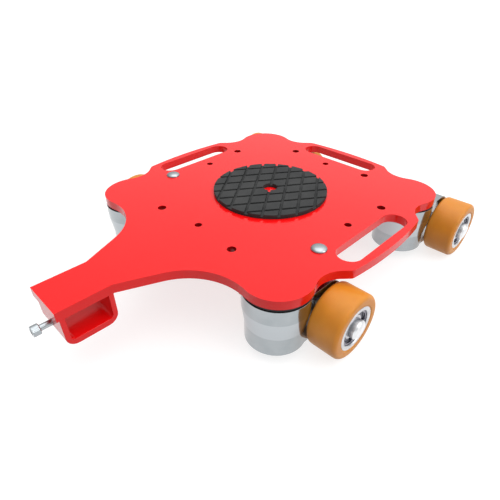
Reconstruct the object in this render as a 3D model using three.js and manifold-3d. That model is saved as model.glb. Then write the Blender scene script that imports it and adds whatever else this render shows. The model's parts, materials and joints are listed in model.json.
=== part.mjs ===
// A rotary machinery skate: a steel deck plate with a rubber load pad, carried by four swivel units
// with two wheels each. Millimetres, +Z up. The origin is the centre of the deck's top face.
// +X points to the bar receiver on the deck's neck, and the wheels roll along X at rest.
import * as THREE from "three";
import { mergeVertices } from "three/addons/utils/BufferGeometryUtils.js";
import Module from "manifold-3d";

const wasm = await Module();
wasm.setup();

// ---- Driving dimensions ----
const GAP = 0.3; // kept between pieces that touch or turn on each other

const DECK = { thickness: 12, lobe: 44, lobeAt: 144.9 };
const SLOT = { at: 178.3, halfLength: 70, halfWidth: 16.7 };
const VALLEY = { u: 112.3, w: 219, end: -137 }; // centre of the hollow between a corner lobe and a handle
const HANDLE = { crown: 206.7, bow: 527, bowShare: 0.92, halfWidth: 77.3, cornerRadius: 8 };
const NECK = { flareX: 266, flareY: 123.2, halfWidth: 29.3, end: 348.6, taper: 23.5 };
const HOLES = { innerAt: 140, innerRadius: 5, outerAt: 147, outerAside: 72, outerRadius: 6 };
const ORIGIN_SPOT = 10.5; // reach of the small face, inside the pad's hole, that the frame's origin lies on

const PAD = { radius: 85, height: 6.3, hole: 11, pitch: 23, grooveWidth: 4, grooveDepth: 3.2, slant: 35 };

const RECEIVER = { back: 284.5, front: 346, wall: 5.8, floor: 8, bottom: -52, corner: 13 };
const CLAMP = { shank: 3.7, head: 6.5, headHeight: 8.6, headFrom: 359.8, tip: 337.4, z: -32.5, socket: 3.4 };
const DECK_SCREW = { head: 10.3, dome: 4.6, shank: 5.7 };

const SWIVEL_AT = 147; // each swivel axis lies at this distance along X and along Y
const HUB = { top: -15.9, crown: 41.7, crownFoot: -36, waist: 38, waistTop: -63, bottom: -86.7, recess: 27 };
const TAIL = { halfWidth: 37, end: 76, corner: 28, bottom: -85 };
const PIN = { radius: 17.5, bottom: -81, groove: 15.2, grooveTop: -75.6, grooveHeight: 2.6 };
const KEEPER = { outer: 25, opening: 40 };
const BUSH = { flange: 40, flangeThickness: 3.2, outer: 21.7, bottom: -70 };
const AXLE = { radius: 12.5, halfLength: 85.2, trail: 49, z: -59, chamfer: 2 };
const WHEEL = { radius: 42.5, width: 42, inner: 38.6, shoulder: 5.6, core: 29.3, bearing: 23.5 };
const LIP = { radius: 20, depth: 4 };
const CIRCLIP = { inner: 20.6, opening: 62, ear: 3.6, earTurn: 5.8, thickness: 1.6, depth: 4.2, facing: 131 };
const FIT = { tyreOnCore: 0.2, bearingOnAxle: 0.4 };

const MATERIALS = {
  deck: new THREE.MeshStandardMaterial({ color: 0xf02a2a, roughness: 0.38, metalness: 0 }),
  pad: new THREE.MeshStandardMaterial({ color: 0x3d3f40, roughness: 0.85, metalness: 0 }),
  zinc: new THREE.MeshStandardMaterial({ color: 0xcdd5da, roughness: 0.3, metalness: 0.9 }),
  steel: new THREE.MeshStandardMaterial({ color: 0xb4b8bc, roughness: 0.28, metalness: 1 }),
  spring: new THREE.MeshStandardMaterial({ color: 0x2b2c2e, roughness: 0.4, metalness: 0.8 }),
  nylon: new THREE.MeshStandardMaterial({ color: 0x151516, roughness: 0.6, metalness: 0 }),
  tyre: new THREE.MeshStandardMaterial({ color: 0xf0902c, roughness: 0.45, metalness: 0 }),
};

// ---- Outlines and solids ----
const rad = (degrees) => (degrees * Math.PI) / 180;

function arc(cx, cy, r, from, to, steps) {
  return Array.from({ length: steps + 1 }, (_, i) => {
    const a = rad(from + ((to - from) * i) / steps);
    return new THREE.Vector2(cx + r * Math.cos(a), cy + r * Math.sin(a));
  });
}

// The arc that rounds the corner between the lines before-corner and corner-after.
function fillet(before, corner, after, r, steps) {
  const a = before.clone().sub(corner).normalize();
  const b = after.clone().sub(corner).normalize();
  const half = Math.acos(a.dot(b)) / 2;
  const centre = a.clone().add(b).normalize().multiplyScalar(r / Math.sin(half)).add(corner);
  const start = a.clone().multiplyScalar(r / Math.tan(half)).add(corner).sub(centre).angle();
  const end = b.clone().multiplyScalar(r / Math.tan(half)).add(corner).sub(centre).angle();
  const turn = Math.atan2(Math.sin(end - start), Math.cos(end - start));
  return arc(centre.x, centre.y, r, (start * 180) / Math.PI, ((start + turn) * 180) / Math.PI, steps);
}

function extrude(outline, holes, depth) {
  const shape = new THREE.Shape(outline);
  for (const hole of holes) shape.holes.push(new THREE.Path(hole));
  return new THREE.ExtrudeGeometry(shape, { depth, bevelEnabled: false });
}

// A solid of revolution about Y from a counterclockwise (radius, height) profile.
function revolve(profile, segments) {
  return new THREE.LatheGeometry(profile.map(([r, h]) => new THREE.Vector2(r, h)), segments);
}

function ring(inner, outer, low, high) {
  return [[inner, low], [outer, low], [outer, high], [inner, high], [inner, low]];
}

function solid(geometry) {
  const position = geometry.getAttribute("position").clone();
  const bare = new THREE.BufferGeometry().setAttribute("position", position);
  if (geometry.index) bare.setIndex(geometry.index.clone());
  const merged = mergeVertices(bare, 1e-4);
  const mesh = { numProp: 3, vertProperties: merged.attributes.position.array };
  return new wasm.Manifold(new wasm.Mesh({ ...mesh, triVerts: new Uint32Array(merged.index.array) }));
}

function geometryOf(manifold) {
  const { vertProperties, triVerts } = manifold.getMesh();
  return new THREE.BufferGeometry()
    .setAttribute("position", new THREE.BufferAttribute(new Float32Array(vertProperties), 3))
    .setIndex(new THREE.BufferAttribute(new Uint32Array(triVerts), 1));
}

const cut = (body, tools) => geometryOf(tools.reduce((s, tool) => s.subtract(solid(tool)), solid(body)));

const root = new THREE.Group();
root.name = "rotary_machinery_skate";

function add(parent, name, geometry, material, position = [0, 0, 0]) {
  const mesh = new THREE.Mesh(geometry, material);
  mesh.name = name;
  mesh.position.set(...position);
  parent.add(mesh);
}

// ---- Deck plate ----
// Every lobe, hollow and flare is an arc that meets its neighbour at a common tangent.
const lobe = new THREE.Vector2(DECK.lobeAt, DECK.lobeAt);
const valley = new THREE.Vector2(VALLEY.u, VALLEY.w);
const valleyRadius = valley.distanceTo(lobe) - DECK.lobe;
const valleyAngle = (valley.clone().sub(lobe).angle() * 180) / Math.PI; // seen from the lobe's centre
const flare = new THREE.Vector2(NECK.flareX, NECK.flareY);
const flareRadius = flare.distanceTo(lobe) - DECK.lobe;
const flareAngle = (Math.atan2(flare.y - lobe.y, flare.x - lobe.x) * 180) / Math.PI;

const bowTurn = (Math.asin(HANDLE.halfWidth / HANDLE.bow) * 180) / Math.PI;
const handleCorner = arc(0, HANDLE.crown - HANDLE.bow, HANDLE.bow, 90 - bowTurn, 90, 1)[0];

// Half of a handle side, from the lobe's tangent point to the middle of the handle.
function handleHalf() {
  const toLobe = arc(valley.x, valley.y, valleyRadius, valleyAngle - 180, VALLEY.end, 12);
  const bow = arc(0, HANDLE.crown - HANDLE.bow, HANDLE.bow, 90 - bowTurn * HANDLE.bowShare, 90, 6);
  const corner = fillet(toLobe.at(-1), handleCorner, bow[0], HANDLE.cornerRadius, 5);
  return [...toLobe, ...corner, ...bow];
}

const mirrored = (points) => points.map((p) => new THREE.Vector2(-p.x, p.y)).reverse();
const middle = new THREE.Vector2();
const turned = (points, quarter) => points.map((p) => p.clone().rotateAround(middle, rad(90 * quarter)));
const handleSide = [...handleHalf(), ...mirrored(handleHalf()).slice(1)];

function lobeArc(from, to, steps) {
  return arc(lobe.x, lobe.y, DECK.lobe, from, to, steps).slice(1, -1);
}

// From the neck's end, along its side and flare, to the front lobe.
function neckHalf() {
  const flareEnd = -90 - NECK.taper;
  const curve = arc(flare.x, flare.y, flareRadius, flareEnd, flareAngle - 180, 18);
  const run = curve[0].y - NECK.halfWidth;
  const throat = new THREE.Vector2(curve[0].x + run / Math.tan(rad(NECK.taper)), NECK.halfWidth);
  return [new THREE.Vector2(NECK.end, NECK.halfWidth), throat, ...curve];
}

const otherSide = (points) => points.map((p) => new THREE.Vector2(p.x, -p.y)).reverse();
const frontHalf = [...neckHalf(), ...lobeArc(flareAngle, valleyAngle, 22)];
const rearLobe = lobeArc(90 - valleyAngle, valleyAngle, 24);
const deckOutline = [
  ...frontHalf,
  ...handleSide,
  ...turned(rearLobe, 1),
  ...turned(handleSide, 1),
  ...turned(rearLobe, 2),
  ...turned(handleSide, 2),
  ...otherSide(frontHalf),
];

function slotOutline(quarter) {
  const reach = SLOT.halfLength - SLOT.halfWidth;
  const right = arc(reach, SLOT.at, SLOT.halfWidth, -90, 90, 14);
  return turned([...right, ...mirrored(right)], quarter);
}

const hole = (x, y, r) => arc(x, y, r, 0, 360, 20).slice(0, -1);
const innerHole = hole(HOLES.innerAt, 0, HOLES.innerRadius);
const outerHole = hole(HOLES.outerAt, HOLES.outerAside, HOLES.outerRadius);
const holePattern = [innerHole, outerHole, otherSide(outerHole)];
const deckHoles = [
  ...[0, 1, 2].map(slotOutline),
  ...[0, 1, 2, 3].flatMap((quarter) => holePattern.map((outline) => turned(outline, quarter))),
];

// A plate whose top and bottom keep the spot's outline as a face of their own.
function plate(outline, holes, spot, thickness) {
  const rings = [outline, ...holes.map((points) => [...points].reverse())];
  const corners = [...rings, spot].flat();
  const faces = THREE.ShapeUtils.triangulateShape(outline, [...rings.slice(1), [...spot].reverse()]);
  const spotAt = corners.length - spot.length;
  const shift = (index) => (index < spotAt ? index : corners.length - 1 - (index - spotAt));
  const top = [...faces.map((face) => face.map(shift)), spot.map((_, i) => spotAt + i)];
  const under = top.map((face) => face.map((index) => index + corners.length).reverse());
  const walls = [];
  let first = 0;
  for (const points of rings) {
    for (let i = 0; i < points.length; i++) {
      const here = first + i;
      const next = first + ((i + 1) % points.length);
      walls.push([here, here + corners.length, next], [next, here + corners.length, next + corners.length]);
    }
    first += points.length;
  }
  const positions = [0, -thickness].flatMap((z) => corners.flatMap((p) => [p.x, p.y, z]));
  return new THREE.BufferGeometry()
    .setAttribute("position", new THREE.Float32BufferAttribute(positions, 3))
    .setIndex([...top, ...under, ...walls].flat());
}
const originSpot = arc(0, 0, ORIGIN_SPOT, 0, 360, 3).slice(0, -1);
const deck = plate(deckOutline, deckHoles, originSpot, DECK.thickness);
add(root, "deck_plate", deck, MATERIALS.deck);

// ---- Load pad ----
function grooves() {
  const cutters = [];
  const count = Math.floor(PAD.radius / PAD.pitch);
  for (const slant of [PAD.slant, -PAD.slant])
    for (let i = -count; i <= count; i++)
      cutters.push(
        new THREE.BoxGeometry(2.4 * PAD.radius, PAD.grooveWidth, 2 * PAD.grooveDepth)
          .translate(0, i * PAD.pitch, PAD.height)
          .rotateZ(rad(slant)),
      );
  return cutters;
}
const padDisc = revolve(ring(PAD.hole, PAD.radius, 0, PAD.height), 48).rotateX(Math.PI / 2);
add(root, "load_pad", cut(padDisc, grooves()), MATERIALS.pad);

// ---- Bar receiver and its clamp screw ----
// A deep U below the neck, open to both sides, with the deck as its roof.
function receiverCorners(inset, corner, low) {
  const left = RECEIVER.back + inset;
  const right = RECEIVER.front - inset;
  return [
    ...arc(left + corner, low + corner, corner, 180, 270, 5),
    ...arc(right - corner, low + corner, corner, 270, 360, 5),
  ];
}
const deckUnder = -DECK.thickness;
const innerCorner = RECEIVER.corner - RECEIVER.floor;
const receiverSection = [
  ...receiverCorners(0, RECEIVER.corner, RECEIVER.bottom),
  new THREE.Vector2(RECEIVER.front, deckUnder),
  new THREE.Vector2(RECEIVER.front - RECEIVER.wall, deckUnder),
  ...receiverCorners(RECEIVER.wall, innerCorner, RECEIVER.bottom + RECEIVER.floor).reverse(),
  new THREE.Vector2(RECEIVER.back + RECEIVER.wall, deckUnder),
  new THREE.Vector2(RECEIVER.back, deckUnder),
];
const receiver = extrude(receiverSection, [], 2 * NECK.halfWidth)
  .rotateX(Math.PI / 2)
  .translate(0, NECK.halfWidth, 0);
const screwHole = new THREE.CylinderGeometry(CLAMP.shank + GAP, CLAMP.shank + GAP, 40, 20)
  .rotateZ(Math.PI / 2)
  .translate(RECEIVER.front, 0, CLAMP.z);
add(root, "bar_receiver", cut(receiver, [screwHole]), MATERIALS.deck);

const clampProfile = [
  [0, CLAMP.tip],
  [CLAMP.shank - 1, CLAMP.tip],
  [CLAMP.shank, CLAMP.tip + 1],
  [CLAMP.shank, CLAMP.headFrom],
  [CLAMP.head, CLAMP.headFrom],
  [CLAMP.head, CLAMP.headFrom + CLAMP.headHeight],
  [CLAMP.socket, CLAMP.headFrom + CLAMP.headHeight],
  [CLAMP.socket, CLAMP.headFrom + CLAMP.headHeight / 2],
  [0, CLAMP.headFrom + CLAMP.headHeight / 2],
];
add(root, "clamp_screw", revolve(clampProfile, 20).rotateZ(-Math.PI / 2), MATERIALS.zinc, [0, 0, CLAMP.z]);

// ---- Dome-headed screws in two of the deck's holes ----
const domeRadius = (DECK_SCREW.head ** 2 + DECK_SCREW.dome ** 2) / (2 * DECK_SCREW.dome);
const domeTurn = (Math.asin(DECK_SCREW.head / domeRadius) * 180) / Math.PI;
const dome = arc(0, DECK_SCREW.dome - domeRadius, domeRadius, 90 - domeTurn, 90, 4);
const deckScrew = [
  [0, -DECK.thickness],
  [DECK_SCREW.shank, -DECK.thickness],
  [DECK_SCREW.shank, GAP / 2],
  [DECK_SCREW.head, GAP / 2],
  ...dome.map((p) => [p.x, p.y + GAP]),
];
deckScrew[deckScrew.length - 1][0] = 0;
for (const [side, sign] of [["left", 1], ["right", -1]])
  add(root, `deck_screw_${side}`, revolve(deckScrew, 16).rotateX(Math.PI / 2), MATERIALS.zinc, [
    HOLES.outerAside,
    sign * HOLES.outerAt,
    0,
  ]);

// ---- Swivel units ----
// The hub is round about the swivel axis, wide at its crown and narrower below, where the wheels come close.
// A flat-sided tail carries on back past the axle.
function hubGeometry() {
  const height = HUB.top - HUB.bottom;
  const round = revolve([
    [0, HUB.bottom],
    [HUB.waist, HUB.bottom],
    [HUB.waist, HUB.waistTop],
    [HUB.crown, HUB.crownFoot],
    [HUB.crown, HUB.top],
    [0, HUB.top],
  ], 48).rotateX(Math.PI / 2);
  const r = TAIL.corner;
  const side = [
    new THREE.Vector2(0, TAIL.bottom),
    new THREE.Vector2(0, HUB.top),
    ...arc(r - TAIL.end, HUB.top - r, r, 90, 180, 6),
    ...arc(r - TAIL.end, TAIL.bottom + r, r, 180, 270, 6),
  ].reverse();
  const tail = extrude(side, [], 2 * TAIL.halfWidth)
    .rotateX(Math.PI / 2)
    .translate(0, TAIL.halfWidth, 0);
  const shaft = (radius) => new THREE.CylinderGeometry(radius, radius, 3 * height, 24);
  const recessTop = PIN.grooveTop + GAP;
  const bore = shaft(BUSH.outer + GAP).rotateX(Math.PI / 2);
  const recess = shaft(HUB.recess)
    .rotateX(Math.PI / 2)
    .translate(0, 0, recessTop - 1.5 * height);
  const axleHole = shaft(AXLE.radius + GAP).translate(-AXLE.trail, 0, AXLE.z);
  return cut(geometryOf(solid(round).add(solid(tail))), [bore, recess, axleHole]);
}

const pinProfile = [
  [0, PIN.bottom],
  [PIN.radius - 1, PIN.bottom],
  [PIN.radius, PIN.bottom + 1],
  [PIN.radius, PIN.grooveTop - PIN.grooveHeight],
  [PIN.groove, PIN.grooveTop - PIN.grooveHeight],
  [PIN.groove, PIN.grooveTop],
  [PIN.radius, PIN.grooveTop],
  [PIN.radius, deckUnder],
  [0, deckUnder],
];
const flangeTop = deckUnder - GAP;
const flangeUnder = flangeTop - BUSH.flangeThickness;
const bushProfile = [
  [PIN.radius + GAP, BUSH.bottom],
  [BUSH.outer, BUSH.bottom],
  [BUSH.outer, flangeUnder],
  [BUSH.flange, flangeUnder],
  [BUSH.flange, flangeTop],
  [PIN.radius + GAP, flangeTop],
  [PIN.radius + GAP, BUSH.bottom],
];

// An open ring whose gap faces +X, with an ear at each end that points to the middle.
function openRing(inner, outer, opening, ear, earTurn, thickness) {
  const start = opening / 2;
  const outside = arc(0, 0, outer, start, 360 - start, 18);
  const inside = arc(0, 0, inner, 360 - start - earTurn, start + earTurn, 14);
  const endEar = (sign) => arc(0, 0, inner - ear, sign * start, sign * (start + earTurn), 2);
  const ears = ear ? [endEar(-1), endEar(1).reverse()] : [[], []];
  return extrude([...outside, ...ears[0], ...inside, ...ears[1]], [], thickness);
}

const axleProfile = [
  [0, -AXLE.halfLength],
  [AXLE.radius - AXLE.chamfer, -AXLE.halfLength],
  [AXLE.radius, AXLE.chamfer - AXLE.halfLength],
  [AXLE.radius, AXLE.halfLength - AXLE.chamfer],
  [AXLE.radius - AXLE.chamfer, AXLE.halfLength],
  [0, AXLE.halfLength],
];

// ---- Wheels, each about its own axis with +Y towards the outer face ----
const half = WHEEL.width / 2;
function shoulder(sign) {
  const from = sign < 0 ? -90 : 0;
  const r = WHEEL.shoulder;
  return arc(WHEEL.radius - r, sign * (half - r), r, from, from + 90, 2).map((p) => [p.x, p.y]);
}
const tyreProfile = [
  [WHEEL.core, -half],
  ...shoulder(-1),
  ...shoulder(1),
  [WHEEL.core, half],
  [WHEEL.core, -half],
];
const seat = WHEEL.bearing + GAP;
const coreOuter = WHEEL.core - FIT.tyreOnCore;
const coreProfile = [
  [LIP.radius, -half],
  [coreOuter, -half],
  [coreOuter, half],
  [seat, half],
  [seat, LIP.depth - half],
  [LIP.radius, LIP.depth - half],
  [LIP.radius, -half],
];
const circlipFrom = half - CIRCLIP.depth;
const bearingBack = LIP.depth - half + GAP;
const bearingProfile = ring(AXLE.radius + FIT.bearingOnAxle, WHEEL.bearing, bearingBack, circlipFrom - GAP);
const { inner: clipInner, opening, ear, earTurn, thickness: clipThickness } = CIRCLIP;
const circlip = openRing(clipInner, WHEEL.bearing, opening, ear, earTurn, clipThickness)
  .rotateX(-Math.PI / 2)
  .rotateY(rad(CIRCLIP.facing))
  .translate(0, circlipFrom, 0);
const tyre = revolve(tyreProfile, 32);
const core = revolve(coreProfile, 20);
const bearing = revolve(bearingProfile, 20);

function addWheel(unit, name, sign) {
  const wheel = new THREE.Group();
  wheel.position.set(-AXLE.trail, sign * (WHEEL.inner + half), AXLE.z);
  if (sign < 0) wheel.rotation.z = Math.PI;
  add(wheel, `tyre_${name}`, tyre, MATERIALS.tyre);
  add(wheel, `wheel_core_${name}`, core, MATERIALS.steel);
  add(wheel, `wheel_bearing_${name}`, bearing, MATERIALS.steel);
  add(wheel, `circlip_${name}`, circlip, MATERIALS.spring);
  unit.add(wheel);
}

const hub = hubGeometry();
const pin = revolve(pinProfile, 24).rotateX(Math.PI / 2);
const bush = revolve(bushProfile, 24).rotateX(Math.PI / 2);
const axle = revolve(axleProfile, 20);
const keeper = openRing(PIN.groove + GAP, KEEPER.outer, KEEPER.opening, 0, 0, PIN.grooveHeight - 2 * GAP);
const keeperAt = [0, 0, PIN.grooveTop - PIN.grooveHeight + GAP];

for (const [end, endSign] of [["front", 1], ["rear", -1]])
  for (const [side, sideSign] of [["left", 1], ["right", -1]]) {
    const unit = new THREE.Group();
    unit.position.set(endSign * SWIVEL_AT, sideSign * SWIVEL_AT, 0);
    const at = `${end}_${side}`;
    add(unit, `swivel_hub_${at}`, hub, MATERIALS.zinc);
    add(unit, `kingpin_${at}`, pin, MATERIALS.steel);
    add(unit, `flanged_bush_${at}`, bush, MATERIALS.nylon);
    add(unit, `retaining_ring_${at}`, keeper, MATERIALS.spring, keeperAt);
    add(unit, `axle_${at}`, axle, MATERIALS.steel, [-AXLE.trail, 0, AXLE.z]);
    addWheel(unit, `${at}_outer`, sideSign);
    addWheel(unit, `${at}_inner`, -sideSign);
    root.add(unit);
  }

export default root;
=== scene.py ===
"""The looks of a rotary machinery skate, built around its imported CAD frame.

The frame is in metres with +Z up and +X towards the neck. Names that end in _MM, and every profile,
are in millimetres.
"""

import json
import math

import bmesh
import bpy
from mathutils import Matrix, Vector


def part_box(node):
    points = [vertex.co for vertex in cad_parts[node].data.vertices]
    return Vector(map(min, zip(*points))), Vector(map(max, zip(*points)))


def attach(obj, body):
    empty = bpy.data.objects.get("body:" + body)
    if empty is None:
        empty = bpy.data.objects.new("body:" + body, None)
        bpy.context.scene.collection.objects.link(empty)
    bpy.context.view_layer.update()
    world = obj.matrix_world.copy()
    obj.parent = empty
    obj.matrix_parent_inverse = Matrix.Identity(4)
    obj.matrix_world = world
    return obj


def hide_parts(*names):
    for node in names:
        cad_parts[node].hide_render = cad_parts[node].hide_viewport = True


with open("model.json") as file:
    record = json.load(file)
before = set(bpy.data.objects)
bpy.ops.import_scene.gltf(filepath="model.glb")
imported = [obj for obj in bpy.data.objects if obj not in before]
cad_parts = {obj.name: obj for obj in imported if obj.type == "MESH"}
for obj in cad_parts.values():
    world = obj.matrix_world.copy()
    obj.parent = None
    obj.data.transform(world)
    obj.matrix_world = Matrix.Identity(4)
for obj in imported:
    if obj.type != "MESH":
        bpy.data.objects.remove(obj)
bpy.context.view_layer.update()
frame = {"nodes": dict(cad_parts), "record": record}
MM = 0.001
UNITS = [f"{end}_{side}" for end in ("front", "rear") for side in ("left", "right")]
WHEELS = [f"{unit}_{place}" for unit in UNITS for place in ("outer", "inner")]


# ---------------------------------------------------------------- mesh tools
def centre(node):
    low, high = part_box(node)
    return (low + high) / 2


def span(node):
    low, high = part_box(node)
    return high - low


def arc_angles(count):
    return [2 * math.pi * k / count for k in range(count)]


def mesh_from(bm, name, sharp_degrees=35):
    """The finished mesh of a bmesh: smooth shaded, with its sharper edges kept crisp."""
    bmesh.ops.recalc_face_normals(bm, faces=bm.faces)
    mesh = bpy.data.meshes.new(name)
    bm.to_mesh(mesh)
    bm.free()
    mesh.shade_smooth()
    mesh.set_sharp_from_angle(angle=math.radians(sharp_degrees))
    return mesh


def fillet(profile, steps=3):
    """A closed profile of (r, h) or (r, h, radius) points, rounded wherever a radius is given."""
    out = []
    for i, point in enumerate(profile):
        here = Vector(point[:2])
        if len(point) < 3:
            out.append(here)
            continue
        before, after = Vector(profile[i - 1][:2]), Vector(profile[(i + 1) % len(profile)][:2])
        a, b = (before - here).normalized(), (after - here).normalized()
        half = a.angle(b) / 2
        reach = point[2] / math.tan(half)
        middle = here + (a + b).normalized() * point[2] / math.sin(half)
        start, end = here + a * reach - middle, here + b * reach - middle
        turn = start.angle_signed(end)
        for k in range(steps + 1):
            out.append(middle + Matrix.Rotation(-turn * k / steps, 2) @ start)
    return out


def lathe(name, profile, segments=96, steps=3, sharp_degrees=35):
    """A solid turned about Y from a closed profile in millimetres."""
    points = fillet(profile, steps)
    bm = bmesh.new()
    rings = []
    for r, h in points:
        if r < 1e-6:
            rings.append([bm.verts.new((0, h * MM, 0))] * segments)
            continue
        ring = [(r * MM * math.cos(a), h * MM, r * MM * math.sin(a)) for a in arc_angles(segments)]
        rings.append([bm.verts.new(point) for point in ring])
    for i, ring in enumerate(rings):
        after = rings[(i + 1) % len(rings)]
        for k in range(segments):
            corners = [ring[k], ring[(k + 1) % segments], after[(k + 1) % segments], after[k]]
            unique = list(dict.fromkeys(corners))
            if len(unique) > 2:
                bm.faces.new(unique)
    return mesh_from(bm, name, sharp_degrees)


def applied(mesh, name, *modifiers):
    """The mesh after modifiers given as (type, settings)."""
    obj = bpy.data.objects.new(name + "_build", mesh)
    bpy.context.scene.collection.objects.link(obj)
    for kind, settings in modifiers:
        modifier = obj.modifiers.new(kind.lower(), kind)
        for key, value in settings.items():
            setattr(modifier, key, value)
    made = bpy.data.meshes.new_from_object(obj.evaluated_get(bpy.context.evaluated_depsgraph_get()))
    made.name = name
    bpy.data.objects.remove(obj)
    return made


def bevelled(mesh, name, width, segments=3, limit_degrees=40):
    settings = {
        "width": width * MM,
        "segments": segments,
        "limit_method": "ANGLE",
        "angle_limit": math.radians(limit_degrees),
        "harden_normals": True,
        "use_clamp_overlap": True,
    }
    return applied(mesh, name, ("BEVEL", settings))


def remade(node, name, width, origin=Vector(), segments=3):
    """A CAD node's shape with merged flat faces and rounded edges, moved so that origin is at zero."""
    bm = bmesh.new()
    bm.from_mesh(frame["nodes"][node].data)
    bmesh.ops.remove_doubles(bm, verts=bm.verts, dist=2e-6)
    bmesh.ops.translate(bm, verts=bm.verts, vec=-origin)
    bmesh.ops.dissolve_limit(bm, angle_limit=math.radians(0.6), verts=bm.verts, edges=bm.edges)
    return bevelled(mesh_from(bm, name, 30), name, width, segments)


def piece(name, mesh, material, body, place=Matrix(), stands_for=()):
    """A new visible piece: it rides on its body, and the CAD nodes that it stands for are hidden."""
    if mesh.materials:
        mesh.materials[0] = material
    else:
        mesh.materials.append(material)
    obj = bpy.data.objects.new(name, mesh)
    bpy.context.scene.collection.objects.link(obj)
    obj.matrix_world = place
    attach(obj, body)
    if stands_for:
        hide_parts(*stands_for)
    return obj


# ---------------------------------------------------------------- materials
class Look:
    """A node material: node() makes a node, and its inputs are numbers, colours or other nodes' outputs."""

    def __init__(self, name, **shader):
        self.material = bpy.data.materials.new(name)
        self.material.use_nodes = True
        self.tree = self.material.node_tree
        self.shader = self.tree.nodes["Principled BSDF"]
        for key, value in shader.items():
            self.shader.inputs[key.replace("_", " ").title().replace("Ior", "IOR")].default_value = value
        self.place = self.tree.nodes.new("ShaderNodeTexCoord").outputs["Object"]

    def node(self, kind, output=0, settings=(), **inputs):
        made = self.tree.nodes.new("ShaderNode" + kind)
        for key, value in dict(settings).items():
            setattr(made, key, value)
        for key, value in inputs.items():
            socket = made.inputs[int(key[1:]) if key[1:].isdigit() else key.replace("_", " ").title()]
            if isinstance(value, bpy.types.NodeSocket):
                self.tree.links.new(value, socket)
            else:
                socket.default_value = value
        return made.outputs[output]

    def stretched(self, x, y, z):
        return self.node("Mapping", Vector=self.place, Scale=(x, y, z))

    def noise(self, scale, detail=4.0, vector=None, roughness=0.5):
        inputs = {"Vector": vector or self.place, "Scale": scale, "Detail": detail, "Roughness": roughness}
        return self.node("TexNoise", **inputs)

    def remap(self, value, low, high, from_low=0.3, from_high=0.7):
        return self.node("MapRange", i0=value, i1=from_low, i2=from_high, i3=low, i4=high)

    def mix(self, factor, a, b):
        a = a if isinstance(a, bpy.types.NodeSocket) else (*a, 1)
        return self.node("Mix", 2, {"data_type": "RGBA"}, i0=factor, i6=a, i7=(*b, 1))

    def math(self, operation, a, b=0.0):
        return self.node("Math", 0, {"operation": operation}, i0=a, i1=b)

    def radius_from_y(self):
        """Distance from the piece's own Y axis, for turned parts."""
        flat = self.stretched(1, 0, 1)
        return self.node("VectorMath", 1, {"operation": "LENGTH"}, i0=flat)

    def set(self, socket, value):
        self.tree.links.new(value, self.shader.inputs[socket])

    def bump(self, height, strength, distance_mm):
        self.set("Normal", self.node("Bump", Height=height, Strength=strength, Distance=distance_mm * MM))
        return self.material


def red_powder_coat(name, dark, light):
    look = Look(name, coat_weight=0.06, coat_roughness=0.05, specular_ior_level=0.3)
    drift = look.noise(7, 3)
    look.set("Base Color", look.mix(look.remap(drift, 0, 1), dark, light))
    look.set("Roughness", look.remap(look.noise(60, 5), 0.13, 0.20))
    peel = look.noise(420, 2)
    return look.bump(peel, 0.05, 0.2)


def black_rubber():
    look = Look("black_rubber", specular_ior_level=0.35)
    grain = look.noise(900, 6, roughness=0.7)
    bloom = look.noise(25, 4)
    look.set("Base Color", look.mix(look.remap(bloom, 0, 1), (0.020, 0.021, 0.022), (0.036, 0.037, 0.037)))
    look.set("Roughness", look.remap(grain, 0.62, 0.85))
    return look.bump(grain, 0.35, 0.12)


def zinc(name, roughness, lines, relief, painted_cone_sheen=False):
    """Zinc-plated steel: a cloudy blue-grey metal, with fine lines left by turning.

    On a hub the cone between the crown and the waist is brighter: partly its plain unlettered band, partly
    a painted reflection of the floor.
    """
    look = Look(name, metallic=1.0)
    cloud = look.noise(45, 5)
    colour = look.mix(look.remap(cloud, 0, 1), (0.355, 0.388, 0.406), (0.41, 0.44, 0.458))
    if painted_cone_sheen:
        height = look.node("SeparateXYZ", 2, Vector=look.place)
        below_crown = look.remap(height, 1, 0, -0.0365, -0.0355)
        above_waist = look.remap(height, 0, 1, -0.0615, -0.0605)
        # painted reflection: a brighter base colour on the cone, partly also for its unlettered band
        colour = look.mix(look.math("MULTIPLY", below_crown, above_waist), colour, (0.455, 0.487, 0.511))
    look.set("Base Color", colour)
    fine = look.noise(60, 4, look.stretched(1, 1, lines))
    look.set("Roughness", look.remap(fine, roughness * 0.8, roughness * 1.25))
    return look.bump(fine, relief, 0.1)


def turned_steel(name, colour, roughness):
    """Lathe-turned steel with concentric tool marks about the piece's Y axis."""
    look = Look(name, metallic=1.0)
    radius = look.radius_from_y()
    rings = look.noise(2600, 3, look.node("CombineXYZ", X=radius))
    smudge = look.noise(80, 4)
    dark = tuple(0.78 * c for c in colour)
    look.set("Base Color", look.mix(look.remap(smudge, 0, 1), dark, colour))
    look.set("Roughness", look.remap(rings, roughness * 0.75, roughness * 1.3))
    return look.bump(rings, 0.10, 0.05)


def polyurethane():
    look = Look(
        "orange_polyurethane", subsurface_weight=0.12, subsurface_scale=0.004, specular_ior_level=0.45
    )
    look.shader.inputs["Subsurface Radius"].default_value = (1.0, 0.35, 0.08)
    cloud = look.noise(40, 5)
    look.set("Base Color", look.mix(look.remap(cloud, 0, 1), (0.61, 0.212, 0.008), (0.68, 0.248, 0.011)))
    scuff = look.noise(260, 6, roughness=0.65)
    look.set("Roughness", look.remap(scuff, 0.36, 0.52))
    marks = look.noise(500, 2, look.stretched(0.05, 6, 0.05))
    return look.bump(look.math("ADD", scuff, marks), 0.06, 0.1)


def dark_metal(name, colour, roughness):
    look = Look(name, metallic=0.85)
    grain = look.noise(700, 5)
    look.set("Base Color", look.mix(look.remap(grain, 0, 1), tuple(0.7 * c for c in colour), colour))
    look.set("Roughness", look.remap(look.noise(120, 4), roughness * 0.8, roughness * 1.2))
    return look.bump(grain, 0.08, 0.05)


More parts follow.
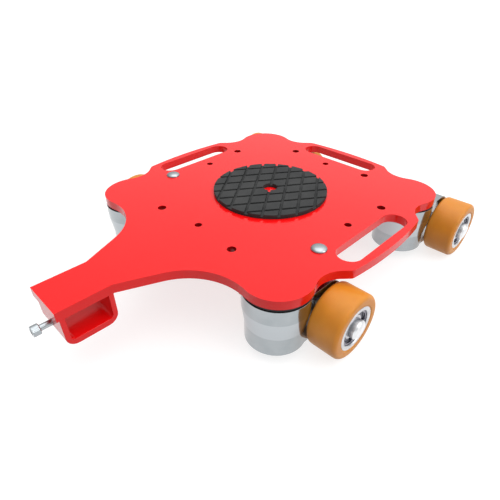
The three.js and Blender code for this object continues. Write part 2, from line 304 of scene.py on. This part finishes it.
def black_nylon():
    look = Look("black_nylon", specular_ior_level=0.4)
    grain = look.noise(500, 5)
    look.set("Base Color", look.mix(look.remap(grain, 0, 1), (0.010, 0.010, 0.011), (0.018, 0.018, 0.019)))
    look.set("Roughness", look.remap(grain, 0.5, 0.68))
    return look.bump(grain, 0.15, 0.05)


PAINT = red_powder_coat("red_powder_coat", (0.80, 0.003, 0.004), (0.87, 0.006, 0.007))
# painted shade: a darker red for the walls of the deck's bolt holes, where shade falls
HOLE_SHADE_PAINT = red_powder_coat("red_coat_painted_hole_shade", (0.26, 0.001, 0.001), (0.34, 0.002, 0.002))
RUBBER = black_rubber()
ZINC = zinc("zinc_plate", 0.13, 14, 0.02, painted_cone_sheen=True)
ZINC_SMALL = zinc("zinc_plate_small", 0.16, 3, 0.03)
FLANK = zinc("zinc_ground_flank", 0.08, 1, 0.02)
STEEL = turned_steel("turned_steel", (0.66, 0.67, 0.69), 0.26)
AXLE_STEEL = turned_steel("axle_steel", (0.84, 0.85, 0.87), 0.36)
RACE = turned_steel("bearing_race", (0.55, 0.55, 0.58), 0.20)
SHIELD = dark_metal("bearing_shield", (0.16, 0.16, 0.20), 0.35)
SPRING = dark_metal("spring_steel", (0.24, 0.23, 0.28), 0.27)
TYRE = polyurethane()
NYLON = black_nylon()


# ---------------------------------------------------------------- deck, receiver and screws
BOLT_HOLE_REACH_MM = 8.0  # a face nearer than this to a bolt hole's middle is the hole's wall


def deck_mesh():
    """The deck, with darker red paint on its bolt holes' walls: painted shade inside the holes."""
    mesh = remade("deck_plate", "steel_deck", 0.6)
    mesh.materials.clear()
    mesh.materials.append(PAINT)
    mesh.materials.append(HOLE_SHADE_PAINT)
    openings = frame["record"]["physics"]["openings"]
    boxes = [gap["box_m"] for gap in openings if gap["name"].startswith("bolt_hole")]
    holes = [Vector(low).lerp(Vector(high), 0.5).xy for low, high in boxes]
    for face in mesh.polygons:
        near_hole = any((face.center.xy - hole).length < BOLT_HOLE_REACH_MM * MM for hole in holes)
        # faces of a hole's wall get the darker red of painted shade
        if near_hole and abs(face.normal.z) < 0.3:
            face.material_index = 1
    return mesh


piece("steel_deck", deck_mesh(), PAINT, "chassis", stands_for=["deck_plate"])
piece(
    "bar_receiver_body",
    remade("bar_receiver", "bar_receiver_body", 0.8),
    PAINT,
    "chassis",
    stands_for=["bar_receiver"],
)


def weld_bead(name, start, end, radius):
    """A painted weld: overlapping ripples along a line, which sits half in the corner that it fills."""
    start, end = Vector(start), Vector(end)
    line = end - start
    side = line.cross(Vector((0, 0, 1))).normalized()
    ripple, rings, around = 1.6 * radius, 90, 16
    bm = bmesh.new()
    loops = []
    for i in range(rings + 1):
        t = i / rings
        along = t * line.length
        wave = 1 + 0.10 * math.cos(2 * math.pi * along / ripple)
        cap = math.sqrt(max(0.02, 1 - (2 * t - 1) ** 40))
        r = radius * wave * cap
        point = start + line * t
        loop = []
        for a in arc_angles(around):
            loop.append(bm.verts.new(point + side * r * math.cos(a) + Vector((0, 0, r * math.sin(a)))))
        loops.append(loop)
    for a, b in zip(loops, loops[1:]):
        for k in range(around):
            j = (k + 1) % around
            bm.faces.new([a[k], a[j], b[j], b[k]])
    bm.faces.new(loops[0][::-1])
    bm.faces.new(loops[-1])
    piece(name, mesh_from(bm, name, 60), PAINT, "chassis")


def receiver_welds():
    low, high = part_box("bar_receiver")
    deck_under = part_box("deck_plate")[0].z
    inset, radius = 1.2 * MM, 3.0 * MM
    for name, x in (("weld_bead_back", low.x), ("weld_bead_front", high.x - 0.6 * MM)):
        ends = [Vector((x, y, deck_under)) for y in (low.y + inset, high.y - inset)]
        weld_bead(name, *ends, radius if name.endswith("back") else 0.7 * radius)


receiver_welds()


PAD_HOLE_MM, PAD_PITCH_MM, PAD_GROOVE_MM, PAD_GROOVE_DEPTH_MM = 11.0, 23.0, 4.0, 3.2
PAD_SLANT = math.radians(35)  # of the grooves, to either side of X
SMALLEST_BLOCK_MM2 = 6


def load_pad():
    """A rubber disc with a field of diamonds on it, which the rim and the centre hole cut."""
    radius = span("load_pad").x / 2 / MM
    height = span("load_pad").z / MM
    hole, pitch, slant, floor = PAD_HOLE_MM, PAD_PITCH_MM, PAD_SLANT, height - PAD_GROOVE_DEPTH_MM
    normal = [Vector((-math.sin(slant), math.cos(slant))), Vector((math.sin(slant), math.cos(slant)))]
    rim = [Vector((radius * math.cos(a), radius * math.sin(a))) for a in arc_angles(192)]
    base = lathe("load_pad_base", [(hole, 0), (radius, 0, 0.4), (radius, floor), (hole, floor)], 192)
    bm = bmesh.new()
    bm.from_mesh(base)
    bmesh.ops.rotate(bm, verts=bm.verts, matrix=Matrix.Rotation(math.pi / 2, 3, "X"))
    half = (pitch - PAD_GROOVE_MM) / 2
    count = int(radius / pitch) + 2
    for i in range(-count, count):
        for j in range(-count, count):
            block = rim
            for n, k in ((normal[0], i), (normal[1], j)):
                middle = (k + 0.5) * pitch
                block = clipped(block, n, middle + half)
                block = clipped(block, -n, half - middle)
            block = outside_circle(block, hole)
            if len(block) > 2 and area(block) > SMALLEST_BLOCK_MM2:
                add_block(bm, block, floor - 0.3, height)
    return mesh_from(bm, "load_pad", 30)


def clipped(polygon, normal, limit):
    """The part of a convex polygon where normal . point is at most limit."""
    out = []
    for i, here in enumerate(polygon):
        after = polygon[(i + 1) % len(polygon)]
        a, b = normal.dot(here) - limit, normal.dot(after) - limit
        if a <= 0:
            out.append(here)
        if a * b < 0:
            out.append(here.lerp(after, a / (a - b)))
    return out


def outside_circle(polygon, radius):
    """A polygon with its part inside the circle pushed out to the circle."""
    dense = []
    for i, here in enumerate(polygon):
        after = polygon[(i + 1) % len(polygon)]
        near = min(here.length, after.length) < 2.5 * radius
        steps = max(1, int((after - here).length / 0.8)) if near else 1
        dense += [here.lerp(after, k / steps) for k in range(steps)]
    if all(p.length >= radius for p in dense):
        return polygon
    return [p if p.length >= radius else p.normalized() * radius for p in dense]


def area(polygon):
    return abs(sum(a.cross(b) for a, b in zip(polygon, polygon[1:] + polygon[:1]))) / 2


def add_block(bm, outline, low, high):
    """A rubber block with a small chamfer round its top."""
    middle = sum(outline, Vector((0, 0))) / len(outline)
    chamfer = 0.45
    rings = []
    for z, inset in ((low, 0), (high - chamfer, 0), (high, chamfer)):
        ring = [p + (middle - p).normalized() * min(inset * 1.3, (middle - p).length / 2) for p in outline]
        rings.append([bm.verts.new((p.x * MM, p.y * MM, z * MM)) for p in ring])
    for a, b in zip(rings, rings[1:]):
        for i in range(len(a)):
            j = (i + 1) % len(a)
            bm.faces.new([a[i], a[j], b[j], b[i]])
    bm.faces.new(rings[0][::-1])
    bm.faces.new(rings[-1])


piece("load_pad_rubber", load_pad(), RUBBER, "chassis", stands_for=["load_pad"])

UPRIGHT = Matrix.Rotation(math.pi / 2, 4, "X")  # turns a lathe's Y axis to Z


def deck_screws():
    size = span("deck_screw_left")
    r, top = size.x / 2 / MM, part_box("deck_screw_left")[1].z / MM
    shank, end, rim, steps = 5.7, -11.9, 0.9, 10
    angles = [math.pi / 2 * k / steps for k in range(steps + 1)]
    dome = [(r * math.cos(a), rim + (top - rim) * math.sin(a)) for a in angles]
    tip = [(0, end), (shank - 0.7, end), (shank, end + 0.7)]
    profile = [*tip, (shank, 0.05), (r, 0.05), *dome[:-1], (0, top)]
    mesh = lathe("deck_screw", profile, 64)
    for side in ("left", "right"):
        node = f"deck_screw_{side}"
        spot = centre(node)
        place = Matrix.Translation((spot.x, spot.y, 0)) @ UPRIGHT
        piece(f"dome_screw_{side}", mesh, ZINC_SMALL, "chassis", place, [node])


deck_screws()


def clamp_screw():
    """A socket-head screw along X: knurled head, hexagon socket, plain shank and a threaded end."""
    low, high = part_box("clamp_screw")
    axis_z = (low.z + high.z) / 2
    head_r = span("clamp_screw").z / 2 / MM
    shank, head_height, thread_length = 3.7, 8.6, 8
    end, tip = high.x / MM, low.x / MM
    head_from, thread_end = end - head_height, tip + thread_length
    around, pitch, depth, rows_per_turn = 144, 1.25, 0.45, 10
    bm = bmesh.new()
    stations = []
    rows = int((thread_end - tip) / pitch * rows_per_turn)
    for i in range(rows + 1):
        x = tip + (thread_end - tip) * i / rows
        run_in = min(1, (x - tip) / 1.2)
        taper = 0.86 + 0.14 * run_in
        stations.append([x, lambda a, x=x, f=taper: thread_radius(x, a, shank, depth, pitch) * f])
    plain = [(thread_end + 0.2, shank), (head_from - 0.4, shank), (head_from, shank + 0.5)]
    stations += [[x, lambda a, r=r: r] for x, r in plain]
    stations += [[head_from + 0.01, lambda a: head_r - 0.6], [head_from + 0.5, lambda a: head_r - 0.15]]
    knurls, knurl_depth = 36, 0.16
    for x in (head_from + 0.9, end - 1.6):
        stations.append([x, lambda a: head_r - knurl_depth / 2 * (1 + math.cos(knurls * a))])
    stations += [[end - 1.3, lambda a: head_r], [end - 0.5, lambda a: head_r]]
    stations += [[end, lambda a: head_r - 0.7]]
    stations += [[x, hexagon(s)] for x, s in ((end, 3.6), (end - 0.4, 3.3), (end - 4.2, 3.3))]
    rings = []
    for x, radius in stations:
        ring = []
        for a in arc_angles(around):
            r = radius(a) * MM
            ring.append(bm.verts.new((x * MM, r * math.cos(a), r * math.sin(a))))
        rings.append(ring)
    for a, b in zip(rings, rings[1:]):
        for k in range(len(a)):
            j = (k + 1) % len(a)
            bm.faces.new([a[k], a[j], b[j], b[k]])
    bm.faces.new(rings[0][::-1])
    bm.faces.new(rings[-1])
    place = Matrix.Translation((0, 0, axis_z))
    mesh = mesh_from(bm, "clamp_screw", 30)
    piece("socket_head_screw", mesh, ZINC_SMALL, "clamp_screw", place, ["clamp_screw"])


def thread_radius(x, angle, outer, depth, pitch):
    phase = (x / pitch - angle / (2 * math.pi)) % 1
    return outer - depth * abs(2 * phase - 1)


def hexagon(across):
    """The radius of a hexagon of that half width, at each angle."""
    return lambda a: across / math.cos((a + math.pi / 6) % (math.pi / 3) - math.pi / 6)


clamp_screw()


# ---------------------------------------------------------------- swivel units
FLANK_FROM_MM = 36.9  # the flanks' distance from the hub's middle, less a little


def hub_mesh(origin):
    """The hub with its two flanks given a ground finish."""
    mesh = remade("swivel_hub_front_left", "swivel_hub", 1.1, origin)
    mesh.materials.clear()
    mesh.materials.append(ZINC)
    mesh.materials.append(FLANK)
    for face in mesh.polygons:
        if abs(face.normal.y) > 0.999 and abs(face.center.y) > FLANK_FROM_MM * MM:
            face.material_index = 1
    return mesh


def swivel_units():
    first = centre("kingpin_front_left")
    origin = Vector((first.x, first.y, 0))
    hub = hub_mesh(origin)
    flange_r = span("flanged_bush_front_left").x / 2 / MM
    flange_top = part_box("flanged_bush_front_left")[1].z / MM
    bush_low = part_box("flanged_bush_front_left")[0].z / MM
    hub_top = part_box("swivel_hub_front_left")[1].z / MM
    bore, sleeve = 17.8, 21.7
    bush_profile = [
        (bore, bush_low, 0.4),
        (sleeve, bush_low, 0.4),
        (sleeve, hub_top + 0.1),
        (flange_r, hub_top + 0.1, 0.5),
        (flange_r, flange_top, 0.5),
        (bore, flange_top, 0.4),
    ]
    bush = lathe("flanged_bush", bush_profile, 128)
    pin_r = span("kingpin_front_left").x / 2 / MM
    pin_low, pin_top = (p.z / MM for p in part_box("kingpin_front_left"))
    groove = [(pin_r, pin_low + 2.8), (15.2, pin_low + 2.8), (15.2, pin_low + 5.4), (pin_r, pin_low + 5.4)]
    centre_hole = [(0, pin_low + 3), (2.2, pin_low + 1.2), (4, pin_low)]
    pin_end = [(pin_r - 1, pin_low), (pin_r, pin_low + 1)]
    kingpin = lathe("kingpin", [*centre_hole, *pin_end, *groove, (pin_r, pin_top), (0, pin_top)])
    keeper = snap_ring("keeper_ring", 15.5, 24.9, -0.9, 0.9, facing=0, gap_degrees=40, ear=0)
    axle_mesh = axle()
    for unit in UNITS:
        spot = centre(f"kingpin_{unit}")
        place = Matrix.Translation((spot.x, spot.y, 0))
        upright = place @ UPRIGHT
        body = f"swivel_{unit}"
        pin, shaft = f"kingpin_{unit}", f"axle_{unit}"
        piece(f"hub_body_{unit}", hub, ZINC, body, place, [f"swivel_hub_{unit}"])
        piece(f"bush_{unit}", bush, NYLON, body, upright, [f"flanged_bush_{unit}"])
        piece(f"pivot_pin_{unit}", kingpin, STEEL, "chassis", upright, [pin])
        ring = f"retaining_ring_{unit}"
        ring_place = Matrix.Translation((spot.x, spot.y, centre(ring).z)) @ UPRIGHT
        piece(f"keeper_ring_{unit}", keeper, SPRING, body, ring_place, [ring])
        axle_place = Matrix.Translation(centre(shaft))
        piece(f"wheel_axle_{unit}", axle_mesh, AXLE_STEEL, body, axle_place, [shaft])


def axle():
    """A ground axle with chamfered ends and a small centre mark in each."""
    size = span("axle_front_left")
    r, half = size.x / 2 / MM, size.y / 2 / MM
    chamfer = 2
    face = [(1, half, 0.1), (1.5, half), (r - chamfer - 0.8, half)]
    end = [(0, half - 1), *face, (r - chamfer, half, 0.3), (r, half - chamfer, 0.3)]
    return lathe("axle", [*[(p[0], -p[1], *p[2:]) for p in end], *end[::-1]], 96)


def snap_ring(name, inner, outer, low, high, facing, gap_degrees, ear):
    """An open spring ring about Y, drilled near each end, with inward ears there unless ear is 0.

    Its gap faces the angle facing, in degrees from +X towards +Z.
    """
    hole, rounding = 1.1, 0.12
    half_gap = math.radians(gap_degrees / 2)
    spread = math.radians(17)  # the length of an ear along the ring
    count = 110

    def ring_points(radius, start, end, steps):
        angles = [start + (end - start) * k / steps for k in range(steps + 1)]
        return [(radius * math.cos(a), radius * math.sin(a)) for a in angles]

    first = math.radians(facing) + half_gap
    last = first + 2 * (math.pi - half_gap)
    outline = ring_points(outer, first, last, count)
    outline += ring_points(inner - ear, last, last - spread * 0.8, 6)
    outline += ring_points(inner, last - spread, first + spread, count)
    outline += ring_points(inner - ear, first + spread * 0.8, first, 6)
    middle = inner - ear * 0.45 if ear else (inner + outer) / 2
    curve = bpy.data.curves.new(name, "CURVE")
    curve.dimensions, curve.fill_mode = "2D", "BOTH"
    curve.extrude = ((high - low) / 2 - rounding) * MM
    curve.bevel_depth, curve.bevel_resolution = rounding * MM, 1
    eyes = []
    for a in (first + spread * 0.42, last - spread * 0.42):
        x, y = middle * math.cos(a), middle * math.sin(a)
        eyes.append([(x + hole * math.cos(b), y + hole * math.sin(b)) for b in arc_angles(24)])
    for loop in (outline, *eyes):
        spline = curve.splines.new("POLY")
        spline.points.add(len(loop) - 1)
        for point, (x, y) in zip(spline.points, loop):
            point.co = (x * MM, y * MM, 0, 1)
        spline.use_cyclic_u = True
    obj = bpy.data.objects.new(name, curve)
    bpy.context.scene.collection.objects.link(obj)
    mesh = bpy.data.meshes.new_from_object(obj.evaluated_get(bpy.context.evaluated_depsgraph_get()))
    bpy.data.objects.remove(obj)
    bm = bmesh.new()
    bm.from_mesh(mesh)
    bmesh.ops.remove_doubles(bm, verts=bm.verts, dist=1e-6)
    middle_height = (low + high) / 2 * MM
    bmesh.ops.transform(bm, verts=bm.verts, matrix=Matrix.Translation((0, middle_height, 0)) @ UPRIGHT)
    return mesh_from(bm, name, 30)


swivel_units()


# ---------------------------------------------------------------- wheels
def wheels():
    """Each wheel is modelled about its own centre with +Y outwards, and placed by its CAD tyre."""
    size = span("tyre_front_left_outer")
    r, half = size.x / 2 / MM, size.y / 2 / MM
    core_r = span("wheel_core_front_left_outer").x / 2 / MM
    race_r = span("wheel_bearing_front_left_outer").x / 2 / MM
    bore = race_r + 0.15
    clip_low = half - 4.2
    shoulder, recess = 5.6, 0.9
    tyre_profile = [
        (core_r, -half + recess),
        (core_r + 1.0, -half + recess, 0.3),
        (core_r + 1.9, -half, 0.6),
        (r, -half, shoulder),
        (r, half, shoulder),
        (core_r + 1.9, half, 0.6),
        (core_r + 1.0, half - recess, 0.3),
        (core_r, half - recess),
    ]
    tyre = lathe("tyre", tyre_profile, 160, steps=8)
    lip, lip_from, core_end = 20, -half + 4, half - 0.4
    core_profile = [
        (lip, -core_end, 0.4),
        (core_r, -core_end),
        (core_r, core_end, 0.3),
        (bore + 0.9, core_end, 0.2),
        (bore, half - 1.4, 0.1),
        (bore, half - 2.2),
        (bore + 1.0, half - 2.2),
        (bore + 1.0, clip_low - 0.1),
        (bore, clip_low - 0.1),
        (bore, lip_from),
        (lip, lip_from, 0.3),
    ]
    core = lathe("wheel_core", core_profile, 128)
    inner_r, face, back = 12.6, clip_low - 0.3, -half + 4.3
    outer_race = [(20.6, back, 0.3), (race_r, back, 0.8), (race_r, face, 0.8), (20.6, face, 0.3)]
    inner_race = [(inner_r, back, 0.5), (16.0, back, 0.3), (16.0, face, 0.3), (inner_r, face, 0.5)]
    shield_front = [(20.7, face - 0.9), (19.6, face - 0.5, 0.3), (17, face - 0.5, 0.3), (15.9, face - 0.9)]
    shield = [(15.9, back + 0.7), (20.7, back + 0.7), *shield_front]
    meshes = {
        "race_outer": lathe("race_outer", outer_race, 96),
        "race_inner": lathe("race_inner", inner_race, 96),
        "shield": lathe("bearing_shield", shield, 96),
    }
    clip_size = (20.9, bore + 0.8, clip_low, clip_low + 1.7)
    clip = snap_ring("bearing_circlip", *clip_size, facing=229, gap_degrees=62, ear=3.4)
    for wheel in WHEELS:
        body = f"wheel_{wheel}"
        hub_y = centre(f"swivel_hub_{wheel.rsplit('_', 1)[0]}").y
        spot = centre(f"tyre_{wheel}")
        place = Matrix.Translation(spot)
        if spot.y < hub_y:
            place = place @ Matrix.Rotation(math.pi, 4, "Z")
        piece(f"cast_tyre_{wheel}", tyre, TYRE, body, place, [f"tyre_{wheel}"])
        piece(f"steel_core_{wheel}", core, STEEL, body, place, [f"wheel_core_{wheel}"])
        bearing = f"wheel_bearing_{wheel}"
        piece(f"outer_race_{wheel}", meshes["race_outer"], RACE, body, place, [bearing])
        piece(f"inner_race_{wheel}", meshes["race_inner"], RACE, body, place)
        piece(f"seal_{wheel}", meshes["shield"], SHIELD, body, place)
        piece(f"snap_ring_{wheel}", clip, SPRING, body, place, [f"circlip_{wheel}"])


wheels()


# ---------------------------------------------------------------- studio
def studio():
    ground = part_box("tyre_front_left_outer")[0].z
    bm = bmesh.new()
    bmesh.ops.create_grid(bm, x_segments=1, y_segments=1, size=20)
    floor = bpy.data.objects.new("studio_floor", mesh_from(bm, "studio_floor"))
    bpy.context.scene.collection.objects.link(floor)
    floor.location.z = ground
    floor.visible_diffuse = False
    look = Look("studio_floor", roughness=0.9, specular_ior_level=0.1, emission_strength=0.74)
    look.shader.inputs["Emission Color"].default_value = (1, 1, 1, 1)
    look.set("Base Color", look.mix(look.noise(3, 2), (0.32, 0.32, 0.32), (0.35, 0.35, 0.35)))
    floor.data.materials.append(look.material)
    sky()
    for name, spot, size, power in (
        ("overhead_softbox", (-0.3, -0.2, 1.9), 1.6, 4),
        ("side_softbox", (-0.6, 1.8, 1.0), 1.2, 9),
    ):
        light = bpy.data.lights.new(name, "AREA")
        light.energy, light.size = power, size
        lamp = bpy.data.objects.new(name, light)
        bpy.context.scene.collection.objects.link(lamp)
        lamp.location = spot
        lamp.rotation_euler = (-Vector(spot)).to_track_quat("-Z", "Y").to_euler()
    bpy.context.scene.view_settings.view_transform = "Standard"


def sky():
    """A white studio: bright overhead, and dimmer elsewhere, with some light from behind and below."""
    world = bpy.data.worlds.new("studio")
    bpy.context.scene.world = world
    world.use_nodes = True
    nodes, links = world.node_tree.nodes, world.node_tree.links
    way = nodes.new("ShaderNodeTexCoord").outputs["Generated"]

    def glow(direction, power, strength, before):
        """Adds light that falls away from a direction as a power of the angle's cosine."""
        facing = nodes.new("ShaderNodeVectorMath")
        facing.operation = "DOT_PRODUCT"
        links.new(way, facing.inputs[0])
        facing.inputs[1].default_value = direction
        value = facing.outputs["Value"]
        steps = (("MAXIMUM", 0.0), ("POWER", power), ("MULTIPLY", strength), ("ADD", before))
        for operation, amount in steps:
            step = nodes.new("ShaderNodeMath")
            step.operation = operation
            links.new(value, step.inputs[0])
            if isinstance(amount, bpy.types.NodeSocket):
                links.new(amount, step.inputs[1])
            else:
                step.inputs[1].default_value = amount
            value = step.outputs[0]
        return value

    above = glow((-0.22, 0.16, 0.96), 2.0, 1.72, 0.37)
    total = glow((-0.62, -0.62, -0.48), 2.0, 0.5, above)
    links.new(total, nodes["Background"].inputs["Strength"])
    nodes["Background"].inputs["Color"].default_value = (1, 1, 1, 1)


def camera():
    """The photo's camera, as fitted: over the skate's front left quarter, about its length away."""
    azimuth, elevation, roll = math.radians(134.89), math.radians(35.28), math.radians(0.045)
    level = math.cos(elevation)
    back = Vector((math.sin(azimuth) * level, -math.cos(azimuth) * level, math.sin(elevation)))
    data = bpy.data.cameras.new("camera")
    data.sensor_width, data.lens = 36, 29.907
    obj = bpy.data.objects.new("camera", data)
    bpy.context.scene.collection.objects.link(obj)
    right = Vector((0, 0, 1)).cross(back).normalized()
    up = back.cross(right)
    turn = Matrix((right, up, back)).transposed().to_4x4() @ Matrix.Rotation(roll, 4, "Z")
    obj.matrix_world = Matrix.Translation((0.4231, 0.3785, 0.2902)) @ turn
    bpy.context.scene.camera = obj


studio()
camera()
